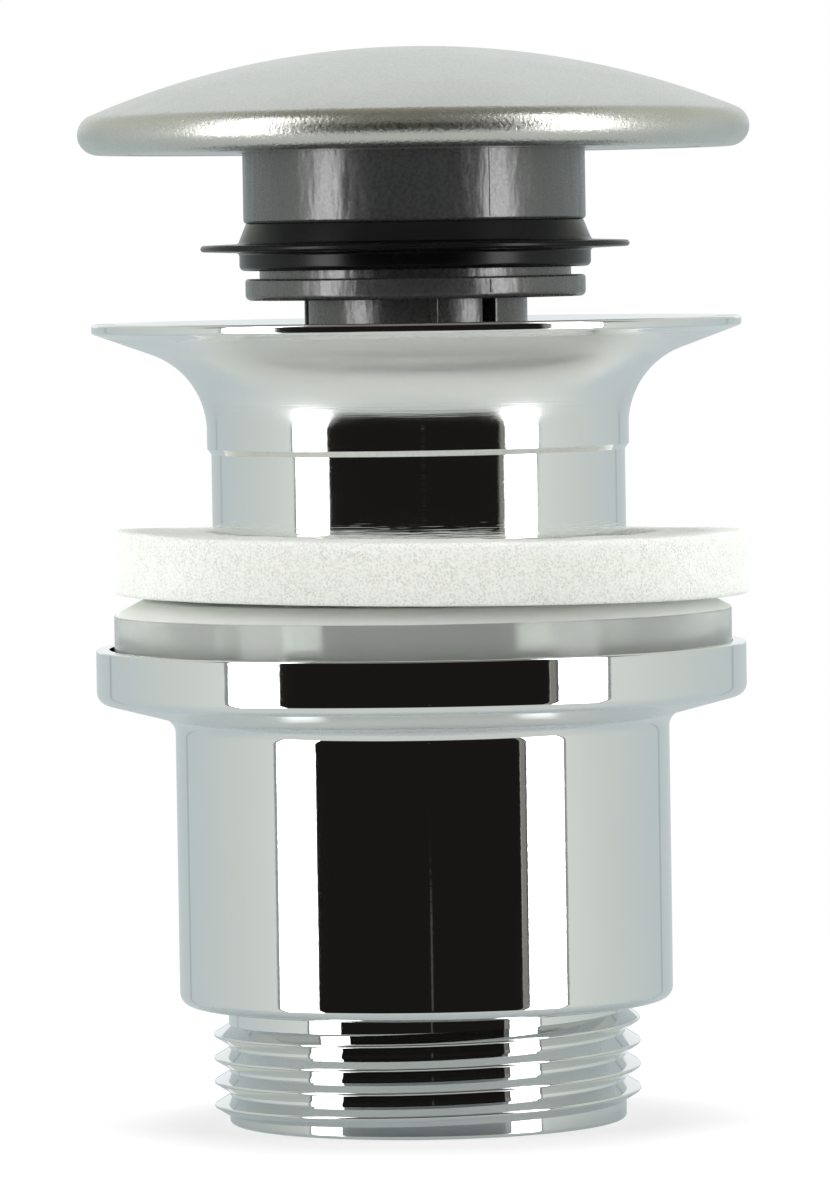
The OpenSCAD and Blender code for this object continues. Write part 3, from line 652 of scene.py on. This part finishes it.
tailSet = {"bodyR": 24.2, "bodyZ": 11.7, "bodyH": 27.9, "bodyEdge": 1.2, "rise": 2.0, "fillet": 1.6,
           "collarEdge": 1.2, "recessR": 30.55, "recessH": 3.0, "mouthR": 20.55, "boreR": 20.05,
           "boreZ": 36.62, "boreStep": 0.3, "floorZ": 15.2, "outletR": 16.8, "edge": 0.25, "endEdge": 0.4,
           "edgeSteps": 12, "filletSteps": 10, "endSteps": 8, "topSteps": 5, "around": 192}
threadSet = {"crestR": 20.955, "rootR": 19.476, "pitch": 2.309, "tip": 0.2, "tipSteps": 6, "flank": 31.5,
             "startZ": 2.93, "startTurn": -0.85, "turns": 4.2, "fade": 0.36, "steps": 216, "sink": 0.12,
             "gap": 0.03, "plainEnd": 0.75}


def makeThread():
    s = threadSet
    root, tip, gap = s["rootR"], s["tip"], s["gap"]
    inner, tipX = root - s["sink"], s["crestR"] - tip
    midZ = s["startZ"] + s["startTurn"] * s["pitch"]
    flank, turn = radians(s["flank"]), 90 - s["flank"]
    half = tip * cos(flank) + (tipX + tip * sin(flank) - inner) * tan(flank)
    section = Outline().line(inner, midZ - half)
    section.arc(tipX, midZ, tip, -turn, turn, s["tipSteps"])
    section.line(inner, midZ + half).close()
    around = len(section.bm.verts)
    toStart = Matrix.Rotation(2 * pi * s["startTurn"], 3, "Z")
    bmesh.ops.rotate(section.bm, verts=section.bm.verts[:], cent=(0, 0, 0), matrix=toStart)
    bm = coil(section, [(s["turns"], s["turns"] * s["pitch"])], s["steps"])
    # the ridge runs out into the root at both ends
    last = len(bm.verts) // around - 1
    fadeSteps = s["fade"] * s["steps"]
    for i, v in enumerate(bm.verts):
        step = i // around
        left = min(1, step / fadeSteps, (last - step) / fadeSteps)
        r = Vector((v.co.x, v.co.y)).length / mm
        if r > root:
            v.co.xy *= (root - gap + (r - root + gap) * left) / r
        v.co.z = max(v.co.z, s["plainEnd"] * mm)
    return settled(bm)


def makeTailBody():
    s = tailSet
    _, topZ, collarR = span("tail_body")
    rootR, bodyR, fillet = threadSet["rootR"], s["bodyR"], s["fillet"]
    bodyEdge, collarEdge, endEdge, edge = s["bodyEdge"], s["collarEdge"], s["endEdge"], s["edge"]
    underZ = s["bodyZ"] + s["bodyH"]
    lean = atan2(s["rise"], collarR - bodyR)
    filletZ = underZ + fillet * tan(lean) - fillet / cos(lean)
    edgeX = collarR - collarEdge
    edgeZ = underZ + (edgeX - bodyR) * tan(lean) + collarEdge / cos(lean)
    recessZ = topZ - s["recessH"]
    o = Outline()
    o.line(s["outletR"], 0)
    o.arc(rootR - endEdge, endEdge, endEdge, -90, 0, s["endSteps"])
    o.line(rootR, s["bodyZ"])
    o.arc(bodyR - bodyEdge, s["bodyZ"] + bodyEdge, bodyEdge, -90, 0, s["edgeSteps"])
    o.arc(bodyR + fillet, filletZ, fillet, 180, 90 + degrees(lean), s["filletSteps"])
    o.arc(edgeX, edgeZ, collarEdge, degrees(lean) - 90, 0, s["edgeSteps"])
    o.arc(collarR - edge, topZ - edge, edge, 0, 90, s["topSteps"])
    o.path((s["recessR"], topZ), (s["recessR"], recessZ), (s["mouthR"], recessZ), (s["mouthR"], s["boreZ"]),
           (s["boreR"], s["boreZ"] - s["boreStep"]), (s["boreR"], s["floorZ"]), (s["outletR"], s["floorZ"]))
    bm = o.close().turned(s["around"])
    addTo(bm, makeThread())
    return handOver(bm, "tailBody", castChrome, "tail", "tail_body", sharp=24)


# Return spring: a coil of wire with one closed turn at each end

springSet = {"wire": 0.9, "turns": 14, "steps": 28, "sides": 10}


def makeReturnSpring():
    s = springSet
    lowZ, highZ, outR = span("return_spring")
    wireR = s["wire"] / 2
    # one closed turn at each end; they and the wire's own height are three wires
    closed = (1, s["wire"])
    active = highZ - lowZ - 3 * s["wire"]
    section = Outline()
    section.arc(outR - wireR, lowZ + wireR, wireR, 0, 360 * (1 - 1 / s["sides"]), s["sides"] - 1).close()
    bm = settled(coil(section, [closed, (s["turns"] - 2, active), closed], s["steps"]))
    piece = handOver(bm, "returnSpring", brightSteel, "upper", "return_spring", sharp=50)
    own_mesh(piece)
    return piece


makeDomeCap()
makeCapPlate()
makePlugBody()
makePlugSeal()
makeFlangeTube()
makeFoamWasher()
makeConeSeal()
makeTailBody()
makeReturnSpring()

# Finishes of the CAD nodes that stay as they are

nodeFinish = {"cap_stud": brightSteel, "stud_nut": brightSteel, "cam_pins": brightSteel,
              "holder_washer": brightSteel, "holder_screw": brightSteel, "cam_plunger": whiteAcetal,
              "spring_seat": whiteAcetal, "cartridge_housing": whiteAcetal, "housing_cap": whiteAcetal,
              "cam_ring": blueAcetal, "mechanism_holder": greyPlastic}
for name, finish in nodeFinish.items():
    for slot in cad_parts[name].material_slots:
        slot.material = finish
print("finishes put on", len(nodeFinish), "plain nodes")


# Camera: places in metres, angles in degrees, focal length in pixels of the frame's height

cameraSet = {"distance": 0.8126, "height": 0.0868, "pitch": 2.52, "yaw": 0.038, "roll": -0.9, "focal": 8300,
             "frameHeight": 1200, "sensor": 36, "near": 0.01}


def makeCamera():
    s = cameraSet
    data = bpy.data.cameras.new("photoCamera")
    data.sensor_fit = "VERTICAL"
    data.sensor_height = s["sensor"]
    data.lens = s["focal"] / s["frameHeight"] * s["sensor"]
    data.clip_start = s["near"]
    camera = bpy.data.objects.new("photoCamera", data)
    bpy.context.collection.objects.link(camera)
    turn = (Matrix.Rotation(radians(s["yaw"]), 4, "Z") @ Matrix.Rotation(radians(90 - s["pitch"]), 4, "X")
            @ Matrix.Rotation(radians(s["roll"]), 4, "Z"))
    camera.matrix_world = Matrix.Translation((0, -s["distance"], s["height"])) @ turn
    bpy.context.scene.camera = camera


# Studio: pale walls, a dark opening on the camera's side with a tall light strip on each side of it
# Angles in degrees: azimuth from the camera's side towards +X, then height over the horizon
# A wall tone stands at a share of the half turn from the camera's side to the back

studioSet = {"sky": (2, 12), "skyTone": (0.66, 0.68, 0.62, 1), "ceiling": (55, 61),
             "ceilingTone": (0.32, 0.30, 0.26, 1), "behind": (95, 110), "table": (-30, -20),
             "tableTone": (0.67, 0.70, 0.67, 1)}
wallTones = ((0.38, (0.75, 0.78, 0.745, 1)), (0.52, (0.67, 0.71, 0.68, 1)), (0.79, (0.56, 0.625, 0.63, 1)),
             (0.80, (0.40, 0.44, 0.45, 1)), (0.81, (0.56, 0.62, 0.63, 1)), (1.0, (0.60, 0.66, 0.67, 1)))
warmGrey = (0.20, 0.197, 0.172, 1)
warmBlack = (0.011, 0.010, 0.009, 1)
frameGrey = (0.24, 0.232, 0.21, 1)
lineGrey = (0.10, 0.098, 0.09, 1)
borderGrey = (0.30, 0.31, 0.31, 1)
stripWhite = (5.0, 5.0, 5.0, 1)
studioPanels = {
    "overCamera": {"side": (-84, 84), "rise": (9, 90), "tone": warmGrey, "soft": (8, 3)},
    "backdrop": {"away": (157, 190), "rise": (1, 55), "tone": (0.90, 0.94, 0.95, 1), "soft": (2, 1)},
    "tableBehind": {"away": (105, 190), "rise": (-91, -22), "tone": (0.57, 0.635, 0.65, 1), "soft": (25, 8)},
    "opening": {"side": (-51.0, 45.6), "rise": (-27, 20), "tone": warmBlack, "soft": (0.3, 1.5)},
    "frameRight": {"side": (45.6, 49.2), "rise": (-27, 20), "tone": frameGrey, "soft": (0.5, 1.5)},
    "frameLine": {"side": (48.0, 48.9), "rise": (-27, 20), "tone": lineGrey, "soft": (0.3, 1.5)},
    "chink": {"side": (2.3, 3.1), "rise": (-9, -4.6), "tone": (0.08, 0.075, 0.065, 1), "soft": (0.3, 0.2)},
    "borderLeft": {"side": (-73.4, -71.5), "rise": (-27, 50), "tone": borderGrey, "soft": (0.3, 1.5)},
    "borderRight": {"side": (68.2, 69.9), "rise": (-27, 50), "tone": borderGrey, "soft": (0.3, 1.5)},
    "stripLeft": {"side": (-71.7, -51.2), "rise": (-27, 50), "tone": stripWhite, "soft": (0.3, 1.5)},
    "stripRight": {"side": (49.0, 68.4), "rise": (-27, 50), "tone": stripWhite, "soft": (0.3, 1.5)}}


def band(tree, value, limits, soft):
    # 1 between two angles, 0 outside, with a short blend
    low, high = (radians(a) for a in limits)
    blend = radians(soft)
    rise = {"Value": value, "From Min": low - blend, "From Max": low + blend}
    fall = {"Value": value, "From Min": high - blend, "From Max": high + blend, "To Min": 1.0, "To Max": 0.0}
    ends = [put(tree, "ShaderNodeMapRange", end, interpolation_type="SMOOTHSTEP") for end in (rise, fall)]
    return combine(tree, *(end.outputs["Result"] for end in ends))


def makeStudio():
    s = studioSet
    world = bpy.data.worlds.new("studio")
    bpy.context.scene.world = world
    world.use_nodes = True
    tree = world.node_tree
    tree.nodes.clear()
    way = put(tree, "ShaderNodeSeparateXYZ", {0: put(tree, "ShaderNodeTexCoord").outputs["Generated"]})
    front = combine(tree, way.outputs["Y"], -1.0)
    side = combine(tree, way.outputs["X"], front, "ARCTAN2")
    height = combine(tree, way.outputs["Z"], 0.0, "ARCSINE")
    away = combine(tree, side, 0.0, "ABSOLUTE")
    share = combine(tree, away, pi, "DIVIDE")
    walls = put(tree, "ShaderNodeValToRGB", {"Fac": share})
    # a new colour ramp already has two stops
    for i, (place, tone) in enumerate(wallTones):
        stop = walls.color_ramp.elements[i] if i < 2 else walls.color_ramp.elements.new(place)
        stop.position, stop.color = place, tone
    room = walls.outputs["Color"]
    for level in ("sky", "ceiling"):
        above = spread(tree, height, 0.0, 1.0, *(radians(a) for a in s[level]))
        room = tint(tree, above, room, s[level + "Tone"])
    below = spread(tree, height, 1.0, 0.0, *(radians(a) for a in s["table"]))
    room = tint(tree, below, room, s["tableTone"])
    for panel in studioPanels.values():
        soft, softRise = panel["soft"]
        turn, limits = (away, panel["away"]) if "away" in panel else (side, panel["side"])
        across = band(tree, turn, limits, soft)
        cover = combine(tree, across, band(tree, height, panel["rise"], softRise))
        room = tint(tree, cover, room, panel["tone"])
    seen = put(tree, "ShaderNodeBackground", {"Color": (1, 1, 1, 1), "Strength": 1.0})
    lights = put(tree, "ShaderNodeBackground", {"Color": room, "Strength": 1.0})
    ray = put(tree, "ShaderNodeLightPath").outputs
    behind = spread(tree, away, 0.0, 1.0, *(radians(a) for a in s["behind"]))
    through = combine(tree, ray["Is Transmission Ray"], behind)
    straight = combine(tree, ray["Is Camera Ray"], through, "MAXIMUM")
    both = put(tree, "ShaderNodeMixShader", {0: straight, 1: lights.outputs[0], 2: seen.outputs[0]})
    put(tree, "ShaderNodeOutputWorld", {"Surface": both.outputs[0]})


# Soft lamps over the part and on both sides, each turned to the middle of the part

lampSet = {"aim": 0.05, "top": {"place": (0, 0.1, 1.1), "size": 0.5, "power": 12.0},
           "left": {"place": (-0.6, -0.16, 0.57), "size": 0.35, "power": 0.75},
           "right": {"place": (0.6, -0.16, 0.57), "size": 0.35, "power": 0.75}}


def makeLamp(name):
    s = lampSet[name]
    data = bpy.data.lights.new(name + "Lamp", "AREA")
    data.shape = "SQUARE"
    data.size = s["size"]
    data.energy = s["power"]
    lamp = bpy.data.objects.new(name + "Lamp", data)
    bpy.context.collection.objects.link(lamp)
    lamp.location = s["place"]
    aim = Vector((0, 0, lampSet["aim"])) - lamp.location
    lamp.rotation_euler = aim.to_track_quat("-Z", "Y").to_euler()
    lamp.visible_camera = lamp.visible_glossy = False


# Floor: white, with the soft shadow of the part close to it

floorSet = {"size": 4.0, "shadowEnd": (0.05, 0.22), "shadowShare": 0.38, "color": (0.9, 0.9, 0.9, 1)}


def makeFloor():
    s = floorSet
    finish = bpy.data.materials.new("paleFloor")
    finish.use_nodes = True
    tree = finish.node_tree
    tree.nodes.clear()
    place = put(tree, "ShaderNodeTexCoord").outputs["Object"]
    away = put(tree, "ShaderNodeVectorMath", {0: place}, operation="LENGTH").outputs["Value"]
    near = spread(tree, away, s["shadowShare"], 0.0, *s["shadowEnd"])
    white = put(tree, "ShaderNodeEmission", {"Color": (1, 1, 1, 1), "Strength": 1.0})
    matt = put(tree, "ShaderNodeBsdfDiffuse", {"Color": s["color"]})
    both = put(tree, "ShaderNodeMixShader", {0: near, 1: white.outputs[0], 2: matt.outputs[0]})
    put(tree, "ShaderNodeOutputMaterial", {"Surface": both.outputs[0]})
    bm = bmesh.new()
    bmesh.ops.create_grid(bm, x_segments=1, y_segments=1, size=s["size"] / 2)
    floor = asObject(bm, "paleFloor", finish)
    floor.visible_diffuse = floor.visible_glossy = floor.visible_transmission = floor.visible_shadow = False


# Half-clear grey stand under the outlet, which shows only in the metal close to it

standSet = {"r": 0.045, "drop": 0.0003, "color": (0.36, 0.41, 0.43, 1), "roughness": 0.6, "cover": 0.5,
            "around": 96}


def makeStand():
    s = standSet
    finish, _, _ = newFinish("paleStand", {
        "Base Color": s["color"], "Roughness": s["roughness"], "Alpha": s["cover"]})
    bm = bmesh.new()
    bmesh.ops.create_circle(bm, cap_ends=True, segments=s["around"], radius=s["r"],
                            matrix=Matrix.Translation((0, 0, -s["drop"])))
    stand = asObject(bm, "paleStand", finish)
    stand.visible_camera = stand.visible_shadow = stand.visible_transmission = False


makeCamera()
makeStudio()
for lampName in ("top", "left", "right"):
    makeLamp(lampName)
makeFloor()
makeStand()
bpy.context.scene.view_settings.view_transform = "Standard"
print("camera, studio and floor made")
